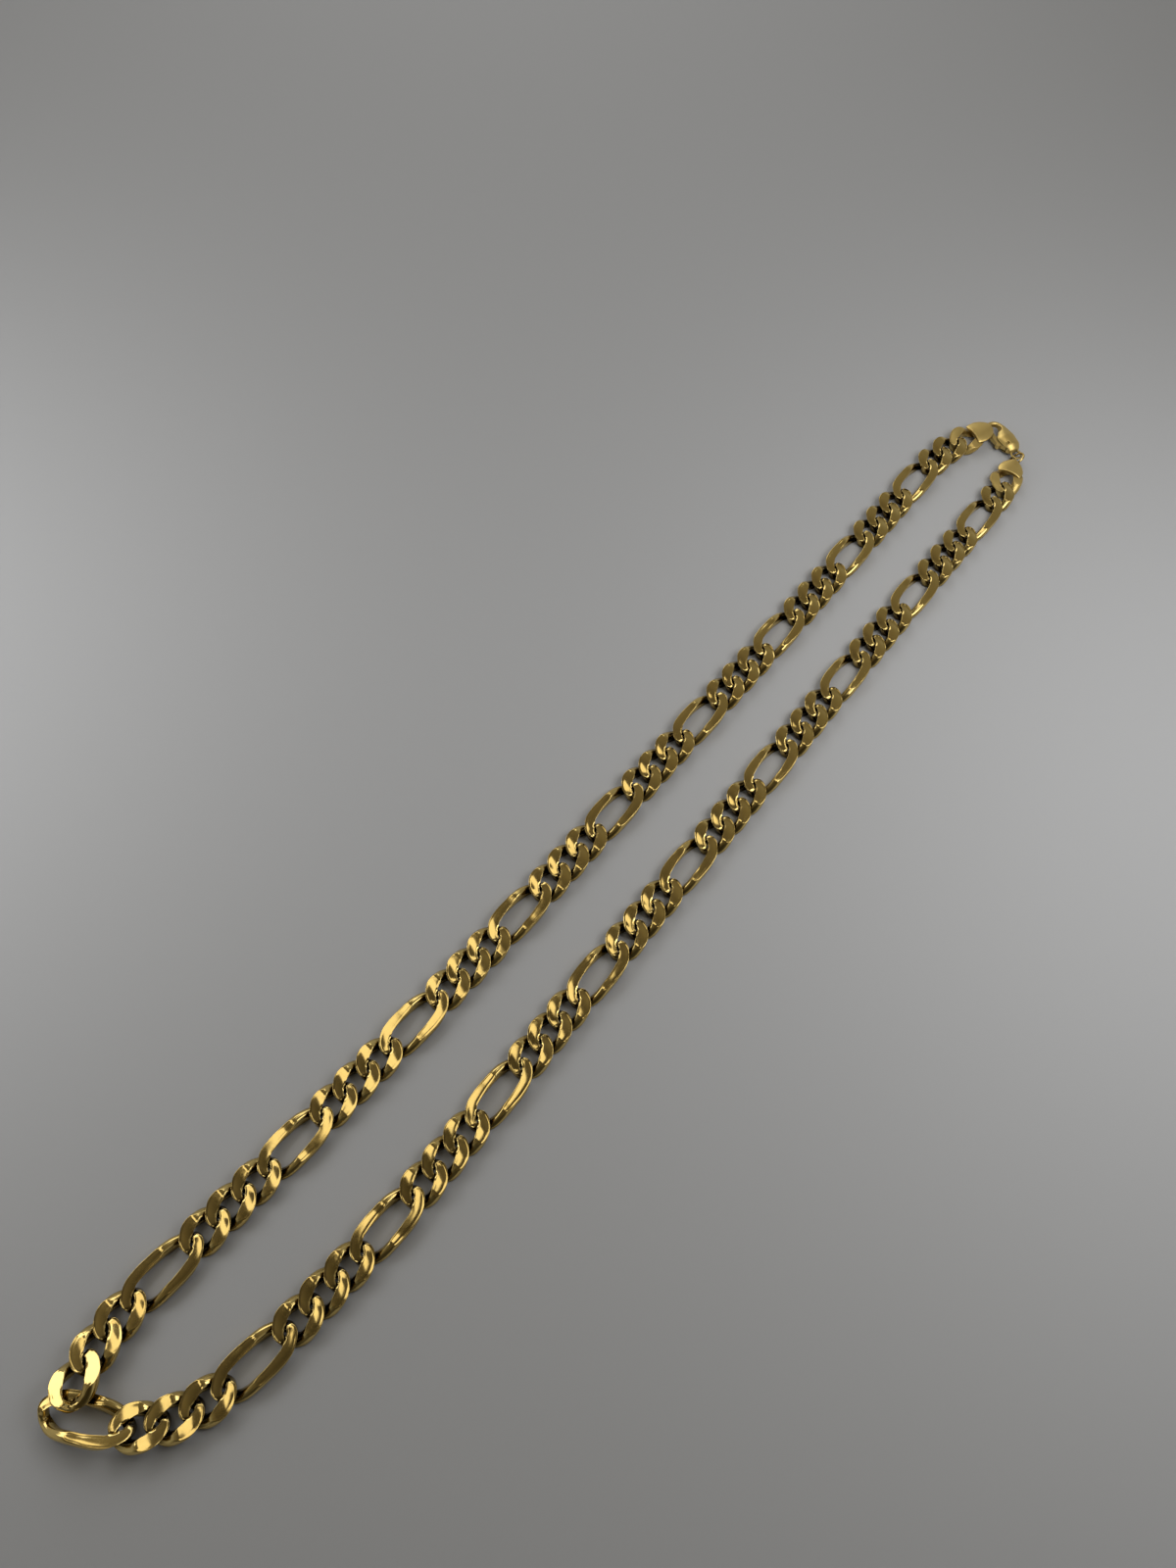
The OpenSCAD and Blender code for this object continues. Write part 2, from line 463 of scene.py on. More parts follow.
@dataclass(frozen=True)
class TumbledGold(PolishedGold):
    """14 ct yellow gold, cast and tumbled with shot.

    It is satin, with hardly a wave or a mark, and gives the eye one broad soft sheen on each form.
    """

    name: str = "tumbled_yellow_gold"
    crevice_mm: float = 1.2
    roughness: float = 0.4
    smear: tuple[float, float] = (0.94, 1.08)
    wave_depth_mm: float = 0.004
    wheel_depth_mm: float = 0.0002


@dataclass(frozen=True)
class TablePaper:
    """Matt pale card that the necklace lies on: even to the eye, with the faintest grain."""

    name: str = "pale_matt_card"
    colour: str = "#BDBEC0"
    roughness: float = 0.75
    # Paper fibres are finer than this and wouldn't show, so their grain is drawn coarser.
    grain_mm: float = 0.6
    grain_depth_mm: float = 0.02

    def build(self) -> bpy.types.Material:
        """Makes the material.

        Returns:
            The material, with one shader.
        """
        material = empty_material(self.name)
        tree = material.node_tree
        place = add_node(tree, "ShaderNodeTexCoord").outputs["Object"]
        grain = relief(tree, place, [Layer(self.grain_mm, self.grain_depth_mm)], strength=0.2)
        shader = add_node(
            tree,
            "ShaderNodeBsdfPrincipled",
            {"Normal": grain},
            Base_Color=linear(self.colour),
            Roughness=self.roughness,
        )
        add_node(tree, "ShaderNodeOutputMaterial", {"Surface": shader.outputs["BSDF"]})
        return material


# Links


@dataclass
class LinkShape:
    """One kind of planed curb link: a wire bent to an oval, twisted, and planed flat on both faces.

    A station is one section across the wire. Its outline is a superellipse, round at the middle of
    each side and squarer where the twist lifts the wire through the plane.
    """

    kind: Kind
    length: float
    twist: float
    twist_power: float
    squareness: float
    stations: int
    width: float = 7.8
    side_wire: float = 2.3
    end_wire: float = 1.6
    wire_t: float = 2.8
    planed_t: float = 2.1
    play: float = 0.7
    # The section: its points, its power at the middle of a side and what the lift adds to it.
    wire_points: int = 120
    side_power: float = 2.1
    lift_power: float = 0.5
    lift_ease: float = 0.8
    # The wire's thickness drawn in at the ends, from this share of the half length on.
    end_drawn: float = 0.7
    drawn_from: float = 0.75
    # The soft rim, the most of a flat and of a side that it takes, and the most with a lip over it.
    rim: float = 0.13
    rim_of_flat: float = 0.3
    rim_of_side: float = 0.2
    lip_pull: float = 1.1
    lip_of_side: float = 0.42
    # The flats: a crown across and a dome along, whose top is dome_front from the tip.
    crown: float = 0.045
    crown_span: float = 1.6
    dome: float = 0.16
    dome_front: float = 2.1
    dome_back: float = 3.0
    dome_back_share: float = 0.6
    dome_most: float = 1.6
    # The lip that planing draws over the hole: its edge runs 3.5 along the link for 2.25 across.
    lip_most: float = 0.65
    lip_normal: tuple[float, float] = (2.25, 3.5)
    lip_rate: float = 0.3
    slant: float = 0.1
    tip_past: float = 0.15
    # How finely the wire is drawn, half the narrowest flat in its points, and the crowding of the
    # stations at the ends.
    flat_steps: int = 5
    rim_steps: int = 3
    side_steps: int = 6
    least_arc: int = 6
    least_flat: float = 4.0
    fine_points: int = 3601
    end_crowding: float = 1.3

    def reach(self, slack: float = 0.0) -> float:
        """Returns the distance from the link's centre to where it meets the next, in mm."""
        return self.length / 2 - self.end_wire - self.play / 2 - slack / 2

    def half_sizes(self) -> tuple[float, float]:
        """Returns the half length and the half width of the wire's middle line, in mm."""
        return self.length / 2 - self.end_wire / 2, self.width / 2 - self.side_wire / 2

    def outline(self, u: float) -> np.ndarray:
        """Gives the closed outline of the unplaned wire at one station.

        Args:
            u: The station's angle round the link, in degrees.

        Returns:
            Points in the link's frame, in mm, in order round the wire.
        """
        half_l, half_w = self.half_sizes()
        c, s, m = math.cos(math.radians(u)), math.sin(math.radians(u)), self.squareness
        x, y = half_l * signed_power(c, 2 / m), half_w * signed_power(s, 2 / m)
        gx, gy = signed_power(x / half_l, m - 1) / half_l, signed_power(y / half_w, m - 1) / half_w
        r = x / half_l
        tw = math.radians(-self.twist * signed_power(r, self.twist_power))
        mid = np.array([x, y * math.cos(tw), y * math.sin(tw)])
        across = np.array([gx, gy * math.cos(tw), gy * math.sin(tw)]) / math.hypot(gx, gy)
        up = np.array([0.0, -math.sin(tw), math.cos(tw)])
        box = self.side_power + self.lift_power * math.sin(math.pi * min(1.0, abs(r)) ** self.lift_ease)
        a = np.radians(np.arange(0, 360, 360 / self.wire_points))
        ca, sa = np.cos(a), np.sin(a)
        ex = np.sign(ca) * np.abs(ca) ** (2 / box)
        ey = np.sign(sa) * np.abs(sa) ** (2 / box)
        half_b = (self.side_wire + (self.end_wire - self.side_wire) * r * r) / 2
        drawn = max(0.0, (abs(r) - self.drawn_from) / (1 - self.drawn_from)) ** 2
        half_t = (self.wire_t - self.end_drawn * drawn) / 2
        return mid + half_b * ex[:, None] * across + half_t * ey[:, None] * up

    def section(self, u: float) -> np.ndarray:
        """Gives the planed section at one station: two flats, two round sides, soft rims between.

        Args:
            u: The station's angle round the link, in degrees.

        Returns:
            The same number of points at every station, in order round the wire.
        """
        raw = self.outline(u)
        top, low = self._cut(raw, 1), self._cut(raw, -1)
        top_outer, top_inner = (self._at(raw, v) for v in top)
        low_inner, low_outer = (self._at(raw, v) for v in low)
        lips = (self._lip(u, top_outer, top_inner, 1), self._lip(u, low_outer, low_inner, -1))
        top_inner = top_inner + self._unit(top_inner - top_outer) * lips[0]
        low_inner = low_inner + self._unit(low_inner - low_outer) * lips[1]
        flats = ((top_outer, top_inner), (low_inner, low_outer))
        sides = (self._arc(raw, top[1], low[0]), self._arc(raw, low[1], top[0]))
        edges = [self._flat(u, p, q) for p, q in flats]
        ring: list[np.ndarray] = []
        for i, (side, drawn) in enumerate(zip(sides, (lips, (0.0, 0.0)))):
            strides = np.linalg.norm(np.diff(side, axis=0), axis=1)
            lengths = np.concatenate([[0], np.cumsum(strides)])
            total = lengths[-1]
            near, far = (self._rim_on_side(total, lip) for lip in drawn)
            first, last = self._along(side, lengths, near), self._along(side, lengths, total - far)
            ring += edges[i]
            ring += self._round(ring[-1], self._sunk(u, flats[i][1]), first)
            for k in range(self.side_steps + 1):
                run = near + (total - near - far) * k / self.side_steps
                ring.append(self._along(side, lengths, run))
            ring += self._round(last, self._sunk(u, flats[1 - i][0]), edges[1 - i][0])
        return np.array(ring)

    def _rim_on_side(self, total: float, lip: float) -> float:
        """Returns how much of a side its soft rim takes, in mm, with more of it under a lip."""
        rim = min(self.rim, self.rim_of_side * total)
        return min(rim + self.lip_pull * lip, self.lip_of_side * total)

    def _flat(self, u: float, p: np.ndarray, q: np.ndarray) -> list[np.ndarray]:
        """Gives points across a flat, short of its rims and slightly crowned.

        Args:
            u: The station's angle round the link, in degrees.
            p: The flat's first edge.
            q: Its other edge.

        Returns:
            Points from p's side to q's.
        """
        span = float(np.linalg.norm(q - p))
        cut = min(self.rim, self.rim_of_flat * span)
        way = self._unit(q - p)
        out = []
        for k in range(self.flat_steps + 1):
            t = k / self.flat_steps
            point = self._sunk(u, p + way * (cut + (span - 2 * cut) * t))
            sag = self.crown * (2 * t - 1) ** 2 * min(1.0, span / self.crown_span)
            out.append(point - np.array([0, 0, math.copysign(sag, p[2])]))
        return out

    def _sunk(self, u: float, point: np.ndarray) -> np.ndarray:
        """Lowers a point of a flat by the gentle dome that the wheel leaves along it.

        Args:
            u: The station's angle round the link, in degrees.
            point: The point on the plane.

        Returns:
            The point on the dome.
        """
        end = math.copysign(1.0, math.cos(math.radians(u)))
        along = point[0] * end - (self._tip() - self.dome_front)
        if along > 0:
            share = (along / self.dome_front) ** 2
        else:
            share = self.dome_back_share * (along / self.dome_back) ** 2
        sag = self.dome * min(self.dome_most, share)
        return point - np.array([0, 0, math.copysign(sag, point[2])])

    def _tip(self) -> float:
        """Returns how far the inner edge of a flat reaches along the link."""
        return self.length / 2 - self.end_wire + self.tip_past

    def _lip(self, u: float, outer: np.ndarray, inner: np.ndarray, face: int) -> float:
        """Gives how far planing draws the inner edge of a flat over the hole.

        Args:
            u: The station's angle round the link, in degrees.
            outer: The flat's outer edge.
            inner: The flat's inner edge.
            face: 1 for the upper face, -1 for the lower one.

        Returns:
            The draw in mm; the edge then follows a straight slant from the tip to the side.
        """
        c, s = math.cos(math.radians(u)), math.sin(math.radians(u))
        if c * s * face > 0:
            return 0.0
        sx, sy = math.copysign(1.0, c), math.copysign(1.0, s)
        way = self._unit(inner - outer)
        norm = np.array(self.lip_normal) / math.hypot(*self.lip_normal)
        off = (inner[0] * sx - self._tip()) * norm[0] + (inner[1] * sy + self.slant) * norm[1]
        rate = -(way[0] * sx * norm[0] + way[1] * sy * norm[1])
        return min(self.lip_most, max(0.0, off) / max(rate, self.lip_rate))

    @staticmethod
    def _unit(v: np.ndarray) -> np.ndarray:
        """Returns a vector's direction."""
        return v / max(float(np.linalg.norm(v)), 1e-9)

    def _round(self, start: np.ndarray, corner: np.ndarray, end: np.ndarray) -> list[np.ndarray]:
        """Rounds a corner with a quadratic curve.

        Args:
            start: Where the curve leaves one face.
            corner: The corner itself.
            end: Where the curve meets the other face.

        Returns:
            The curve's points between start and end.
        """
        out = []
        for k in range(1, self.rim_steps):
            t = k / self.rim_steps
            out.append((1 - t) ** 2 * start + 2 * t * (1 - t) * corner + t * t * end)
        return out

    def _cut(self, raw: np.ndarray, face: int) -> tuple[float, float]:
        """Finds where a plane cuts the outline.

        Args:
            raw: The outline's points.
            face: 1 for the upper face, -1 for the lower one.

        Returns:
            The first and the last place of the flat, as point numbers with fractions.
        """
        half = self.planed_t / 2
        z = raw[:, 2] * face
        n = len(raw)
        k = int(np.argmax(z))
        if z[k] <= half:
            return k - self.least_flat, k + self.least_flat
        i = k
        while z[i % n] > half and k - i < n // 2:
            i -= 1
        j = k
        while z[j % n] > half and j - k < n // 2:
            j += 1
        a = i + (half - z[i % n]) / (z[(i + 1) % n] - z[i % n])
        b = j - (half - z[j % n]) / (z[(j - 1) % n] - z[j % n])
        grow = max(0.0, self.least_flat - (b - a) / 2)
        return a - grow, b + grow

    def _at(self, raw: np.ndarray, v: float) -> np.ndarray:
        """Gives a point of the outline, held between the two planes.

        Args:
            raw: The outline's points.
            v: The point's number, with a fraction.

        Returns:
            The point.
        """
        half = self.planed_t / 2
        n = len(raw)
        i = math.floor(v)
        p = raw[i % n] + (raw[(i + 1) % n] - raw[i % n]) * (v - i)
        return np.array([p[0], p[1], min(max(p[2], -half), half)])

    def _arc(self, raw: np.ndarray, a: float, b: float) -> np.ndarray:
        """Gives a stretch of the outline.

        Args:
            raw: The outline's points.
            a: The number of its first point, with a fraction.
            b: The number of its last point, with a fraction.

        Returns:
            Points from a on to b, both ends included.
        """
        while b < a:
            b += len(raw)
        steps = max(self.least_arc, int(b - a))
        return np.array([self._at(raw, a + (b - a) * k / steps) for k in range(steps + 1)])

    @staticmethod
    def _along(line: np.ndarray, lengths: np.ndarray, s: float) -> np.ndarray:
        """Returns the point at distance s along a polyline."""
        return np.array([np.interp(s, lengths, line[:, i]) for i in range(3)])

    def angles(self) -> list[float]:
        """Spaces the stations evenly along the wire, a little closer where it turns round the ends.

        Returns:
            Angles round the link, in degrees.
        """
        fine = np.radians(np.linspace(0.0, 360.0, self.fine_points))
        c, s, m = np.cos(fine), np.sin(fine), self.squareness
        half_l, half_w = self.half_sizes()
        x = half_l * np.sign(c) * np.abs(c) ** (2 / m)
        y = half_w * np.sign(s) * np.abs(s) ** (2 / m)
        crowd = 1 + self.end_crowding * np.abs(x[1:] / x.max()) ** 3
        run = np.concatenate([[0.0], np.cumsum(np.hypot(np.diff(x), np.diff(y)) * crowd)])
        wanted = run[-1] * (np.arange(self.stations) + 0.5) / self.stations
        return [float(v) for v in np.degrees(np.interp(wanted, run, fine))]

    def mesh(self) -> Mesh:
        """Returns the link in its own frame."""
        return loft([self.section(u) for u in self.angles()], closed=True)


SHORT = LinkShape(Kind.SHORT, length=9.6, twist=60, twist_power=1.0, squareness=2.8, stations=64)
LONG = LinkShape(
    Kind.LONG,
    length=16.3,
    twist=63,
    twist_power=1.8,
    squareness=3.0,
    stations=88,
    side_wire=1.95,
    dome=0.07,
)
SHAPES = {shape.kind: shape for shape in (SHORT, LONG)}


# The lie of the chain


def walk(start: Pose, steps: Sequence[Step], sign: int) -> list[Pose]:
    """Lays links one after another, each hooked into the one before.

    Args:
        start: The link that the walk leaves from.
        steps: The links to lay.
        sign: 1 to walk on along the links' headings, -1 to walk back.

    Returns:
        The new links' poses, without the start.
    """
    out: list[Pose] = []
    here = start
    for step in steps:
        new = Pose(0, 0, 0, step.heading, step.roll, step.pitch, step.kind)
        before = SHAPES[here.kind].reach(step.slack) * here.way()
        after = SHAPES[step.kind].reach(step.slack) * new.way()
        x, y, z = np.array([here.x, here.y, here.z]) + sign * (before + after)
        here = new._replace(x=float(x), y=float(y), z=float(z) + step.rise)
        out.append(here)
    return out


@dataclass
class Route:
    """The lie of the loop: two straight sides, the bend with its corner link, and the strands' ends.

    A run of links is one repeat of the pattern, and its lean is its heading in degrees toward +X.
    """

    run: int = 4
    flat_z: float = 1.05
    left_lean: tuple[float, ...] = (3, 2, 1, 0, 0, 0, -1, -1)
    right_lean: tuple[float, ...] = (3, -1, -1.5, -1, -1, -1.5, -1, -0.5)
    left_tail: tuple[Step, ...] = (Step(3), Step(13, roll=1.5, pitch=1), Step(23, roll=3, pitch=1.5))
    right_tail: tuple[Step, ...] = (Step(-4), Step(-12))
    left_start: Pose = Pose(-11.9, -118.9, 1.05, heading=3, roll=0, pitch=0, kind=Kind.LONG)
    corner: Pose = Pose(-4.2, -141.4, 2.06, heading=63, roll=-18, pitch=1, kind=Kind.LONG)
    left_bend: tuple[Step, ...] = (
        Step(-2, roll=-3, pitch=-2, rise=0.1, slack=0.12),
        Step(-13, roll=-6, pitch=-7.5, rise=0.05, slack=0.12),
        Step(-22, roll=-12, pitch=-15.5, slack=0.12),
    )
    right_bend: tuple[Step, ...] = (
        Step(43, roll=-10, pitch=-5, rise=-0.04, slack=0.3),
        Step(30, roll=-6, pitch=-4, rise=0.05, slack=0.12),
        Step(17, roll=-2, pitch=-1, rise=-0.04, slack=0.12),
        Step(7, kind=Kind.LONG, slack=0.12),
    )

    def side(self, lean: Sequence[float], tail: Sequence[Step]) -> list[Step]:
        """Gives the steps of one straight side.

        Args:
            lean: How each repeat leans toward +X, in degrees.
            tail: The short links after the last long one.

        Returns:
            All steps from the side's first long link on.
        """
        steps = []
        for i in range(1, self.run * len(lean) + 1):
            k, rest = divmod(i, self.run)
            if rest:
                steps.append(Step(lean[k]))
            else:
                between = (lean[k - 1] + lean[min(k, len(lean) - 1)]) / 2
                steps.append(Step(between, kind=Kind.LONG))
        return steps + list(tail)

    def left(self) -> list[Pose]:
        """Lays the left strand.

        Returns:
            Its links, the corner link first and the capped link last.
        """
        up = walk(self.left_start, self.side(self.left_lean, self.left_tail), 1)
        down = walk(self.left_start, self.left_bend, -1)
        return [self.corner, *down, self.left_start, *up]

    def right(self) -> list[Pose]:
        """Lays the right strand.

        Returns:
            Its links, the one next to the corner first and the capped link last.
        """
        bend = walk(self.corner, self.right_bend, 1)
        start = bend[-1]._replace(z=self.flat_z, roll=0.0, pitch=0.0)
        up = walk(start, self.side(self.right_lean, self.right_tail), 1)
        return [*bend[:-1], start, *up]


@dataclass
class Strand(GoldPiece):
    """A run of interlocked links, one loose solid each."""

    name: str
    poses: list[Pose]

    def mesh(self) -> Mesh:
        """Builds all its links.

        Returns:
            Points in the loop's frame, in mm, and faces.
        """
        made = {kind: shape.mesh() for kind, shape in SHAPES.items()}
        links = []
        for pose in self.poses:
            points, faces = made[pose.kind]
            links.append((pose.carry(points) + LIFT, faces))
        return join(links)


@dataclass
class EndLink(GoldPiece):
    """The last link of a strand, with a domed shell soldered over its outer end and a standing eye.

    Shell, eye and foot are drawn in the link's flat frame: x along the link from its centre, z up
    from the table.
    """

    name: str
    pose: Pose
    ribs: tuple[Rib, ...]
    slope: float
    base_z: float
    hole: Eye
    # The shell: how its outline is eased, how its edges roll, and the bow of its near edge.
    shell_t: float = 0.62
    ease: tuple[float, ...] = (-0.35, -0.18, 0.0, 0.18, 0.35)
    near_roll: float = 0.35
    tip_roll: float = 0.5
    near_share: float = 0.9
    tip_share: float = 0.55
    edge_share: float = 0.35
    tip_from: float = 3.0
    side_power: float = 0.75
    top_power: float = 0.8
    shoulder: float = 0.62
    under: float = 0.12
    bow: float = 0.55
    bow_half: float = 3.0
    bow_fade: float = 1.2
    stations: int = 40
    around: int = 36
    # The eye: a flat ring with soft edges.
    eye_wall: float = 0.35
    eye_power: float = 0.6
    eye_turns: int = 64
    eye_around: int = 16
    # The foot that carries the shell inside the link.
    foot_x: float = 3.1
    foot_half: tuple[float, float] = (0.75, 0.65)
    foot_low: float = 1.25
    foot_in: float = 0.25
    foot_power: float = 0.5
    foot_levels: int = 8
    foot_around: int = 24

    def on_table(self, points: np.ndarray) -> np.ndarray:
        """Returns points of the link's flat frame in the loop's frame."""
        flat = turn(0, 0, 90.0 - self.pose.heading)
        return points @ flat.T + np.array([self.pose.x, self.pose.y, 0.0])

    def shell(self) -> Mesh:
        """Builds the domed plate, bowed at its near edge and drawn in to its tip.

        Returns:
            Its points in the link's flat frame and its faces.
        """
        xs, ws = (np.array(column) for column in zip(*self.ribs))
        near, tip = xs[0], xs[-1]
        rings = []
        for i in range(self.stations + 1):
            t = 0.5 - 0.5 * math.cos(math.pi * (i / self.stations))
            x = near + (tip - near) * t
            spread = self.ease if 0 < i < self.stations else (0.0,)
            w = float(np.mean([np.interp(x + d, xs, ws) for d in spread]))
            edge = min(1.0, (x - near) / self.near_roll, (tip - x) / self.tip_roll)
            roll = math.sqrt(max(0.0, 1 - (1 - max(0.0, edge)) ** 2))
            least = self.near_share if x < self.tip_from else self.tip_share
            w *= least + (1 - least) * roll
            high = self.shell_t * (self.edge_share + (1 - self.edge_share) * roll)
            bow = self.bow * max(0.0, 1 - (x - near) / self.bow_fade)
            rings.append(self._shell_ring(x, w, high, bow))
        points, faces = loft(rings)
        return points @ turn(0, -self.slope, 0).T + np.array([0, 0, self.base_z]), faces

    def _shell_ring(self, x: float, w: float, high: float, bow: float) -> np.ndarray:
        """Gives one section across the shell, domed above and nearly flat below.

        Args:
            x: Its place along the link.
            w: Its half width.
            high: Its height.
            bow: How far its middle is drawn along the link.

        Returns:
            Its points, in order.
        """
        ring = []
        for k in range(self.around):
            a = 2 * math.pi * k / self.around
            y = w * signed_power(math.cos(a), self.side_power)
            z = self.under * math.sin(a)
            if z > 0:
                dome = self.shoulder + (1 - self.shoulder) * (1 - (y / w) ** 2)
                z = high * math.sin(a) ** self.top_power * dome
            ring.append([x + bow * (1 - min(1.0, abs(y) / self.bow_half) ** 2), y, z])
        return np.array(ring)

    def eye(self) -> Mesh:
        """Builds the standing eye, a flat ring with soft edges.

        Returns:
            Its points in the link's flat frame and its faces.
        """
        half_w, half_t = self.eye_wall / 2, self.hole.thick / 2
        rings = []
        for i in range(self.eye_turns):
            a = 2 * math.pi * i / self.eye_turns
            ring = []
            for k in range(self.eye_around):
                b = 2 * math.pi * k / self.eye_around
                r = self.hole.r + half_w + half_w * signed_power(math.cos(b), self.eye_power)
                y = half_t * signed_power(math.sin(b), self.eye_power)
                ring.append([self.hole.x + r * math.cos(a), y, self.hole.z + r * math.sin(a)])
            rings.append(np.array(ring))
        return loft(rings, closed=True)

    def foot(self) -> Mesh:
        """Builds the foot that stands under the shell, inside the link.

        Returns:
            Its points in the link's flat frame and its faces.
        """
        rings = []
        for z in np.linspace(self.foot_low, self.base_z + self.foot_in, self.foot_levels):
            ring = []
            for k in range(self.foot_around):
                a = 2 * math.pi * k / self.foot_around
                x = self.foot_x + self.foot_half[0] * signed_power(math.cos(a), self.foot_power)
                ring.append([x, self.foot_half[1] * signed_power(math.sin(a), self.foot_power), z])
            rings.append(np.array(ring))
        return loft(rings)

    def mesh(self) -> Mesh:
        """Builds the link with what is soldered to it.

        Returns:
            Points in the loop's frame, in mm, and faces.
        """
        link, link_faces = SHAPES[self.pose.kind].mesh()
        soldered = [(self.on_table(own), faces) for own, faces in (self.shell(), self.eye(), self.foot())]
        points, faces = join([(self.pose.carry(link), link_faces), *soldered])
        return points + LIFT, faces


# The clasp


@dataclass
class CastPiece(GoldPiece):
    """A cast piece of the clasp: the CAD solid's form with its edges rolled over by tumbling."""

    name: str
    voxel: float
    rounds: int
    strength: float = 0.5
    form: str = "cast"
    body: Body = Body.NECKLACE

    def make(self, name: str, gold: bpy.types.Material) -> bpy.types.Object:
        """Makes the piece from its node's solid.

        Args:
            name: The object's name.
            gold: The finish.

        Returns:
            The object.
        """
        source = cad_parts[self.name]
        piece = bpy.data.objects.new(name, source.data.copy())
        bpy.context.scene.collection.objects.link(piece)
        remesh = piece.modifiers.new("skin", "REMESH")
        remesh.mode = "VOXEL"
        remesh.voxel_size = self.voxel * MM
        soften = piece.modifiers.new("tumbled", "SMOOTH")
        soften.factor = self.strength
        soften.iterations = self.rounds
        graph = bpy.context.evaluated_depsgraph_get()
        mesh = bpy.data.meshes.new_from_object(piece.evaluated_get(graph))
        piece.modifiers.clear()
        piece.data = mesh
        mesh.shade_smooth()
        mesh.materials.clear()
        mesh.materials.append(gold)
        return piece


@dataclass
class JumpRing(GoldPiece):
    """A round wire ring through the clasp's tail and the cap's eye, its sawn ends butted together."""

    name: str = "jump_ring"
    form: str = "wire"
    across_r: float = 1.65
    wire_r: float = 0.26
    lean: float = 44.0
    height: float = 1.3
    inset: float = 0.1
    tail_eye: tuple[float, float] = (4.813, 141.351)
    cap_eye: tuple[float, float] = (5.81, 138.47)
    seam_at: float = 200.0
    seam_half: float = 2.5
    seam_share: float = 0.9
    turns: int = 96
    around: int = 20

    def mesh(self) -> Mesh:
        """Builds the ring with a fine seam.

        Returns:
            Points in the loop's frame, in mm, and faces.
        """
        chord = np.array(self.cap_eye) - np.array(self.tail_eye)
        off = math.sqrt(self.across_r**2 - float(chord @ chord) / 4) - self.inset
        middle = (np.array(self.cap_eye) + np.array(self.tail_eye)) / 2
        rings = []
        for i in range(self.turns):
            a = 2 * math.pi * i / self.turns
            from_seam = abs((math.degrees(a) - self.seam_at + 180) % 360 - 180)
            wire = self.wire_r * (self.seam_share if from_seam < self.seam_half else 1.0)
            ring = []
            for k in range(self.around):
                b = 2 * math.pi * k / self.around
                r = self.across_r + wire * math.cos(b)
                ring.append([r * math.cos(a), r * math.sin(a) + off, wire * math.sin(b)])
            rings.append(np.array(ring))
        points, faces = loft(rings, closed=True)
        lean = turn(self.lean, 0, 0)
        head = turn(0, 0, math.degrees(math.atan2(chord[1], chord[0])))
        return points @ (head @ lean).T + np.array([middle[0], middle[1], self.height]), faces


# Table, light and camera


@dataclass
class Table:
    """The pale card that the necklace lies on."""

    size: float = 1600.0

    def dress(self, card: bpy.types.Material) -> bpy.types.Object:
        """Makes the table.

        Args:
            card: Its finish.

        Returns:
            The table.
        """
        corners = np.array([[-1, -1, 0], [1, -1, 0], [1, 1, 0], [-1, 1, 0]]) * (self.size / 2)
        piece = make_piece("table", (corners - SHIFT, [(0, 1, 2, 3)]), card)
        return piece


@dataclass
class SoftBox:
    """A rectangular lamp behind a diffuser, faced to its target; places and sizes are in mm."""

    name: str
    place: tuple[float, float, float]
    target: tuple[float, float, float]
    size: tuple[float, float]
    watts: float

    def hang(self) -> bpy.types.Object:
        """Makes the lamp.

        Returns:
            The lamp.
        """
        lamp = bpy.data.lights.new(self.name, "AREA")
        lamp.shape = "RECTANGLE"
        lamp.size, lamp.size_y = self.size[0] * MM, self.size[1] * MM
        lamp.energy = self.watts
        item = bpy.data.objects.new(self.name, lamp)
        item.location = Vector(self.place) * MM
        beam = Vector(self.target) - Vector(self.place)
        item.rotation_euler = beam.to_track_quat("-Z", "Y").to_euler()
        bpy.context.scene.collection.objects.link(item)
        return item


